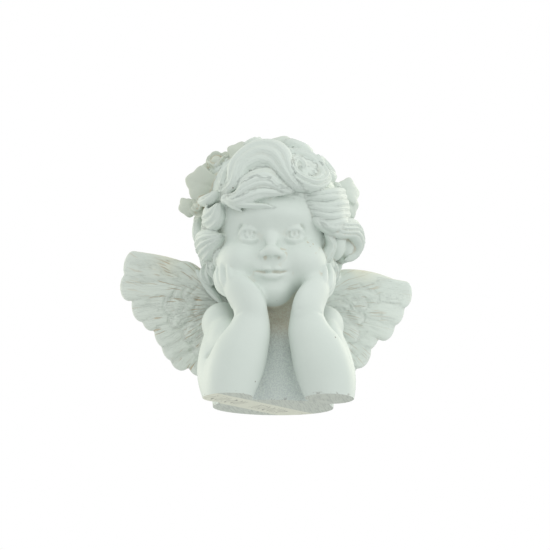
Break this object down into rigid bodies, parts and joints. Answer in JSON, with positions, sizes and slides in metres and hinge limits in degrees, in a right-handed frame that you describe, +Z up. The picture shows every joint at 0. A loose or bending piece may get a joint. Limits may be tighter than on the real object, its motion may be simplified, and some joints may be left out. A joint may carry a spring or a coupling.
{
  "type": "angel figurine",
  "caption": "Small white cast cherub bust leaning on its elbows, chin in hands, with curly wreathed hair, two feathered wings and a flat underside.",
  "frame": {"origin": "middle of the chest's part of the flat underside, which stands on the table", "axes": "+Z up, -Y the way the face looks, +X to the right of someone facing the figurine"},
  "size_m": [0.0819, 0.0432, 0.0757],
  "materials": {
    "white_plaster": "matte"
  },
  "bodies": {
    "root": {"cherub_bust": "white_plaster"}
  },
  "joints": []
}
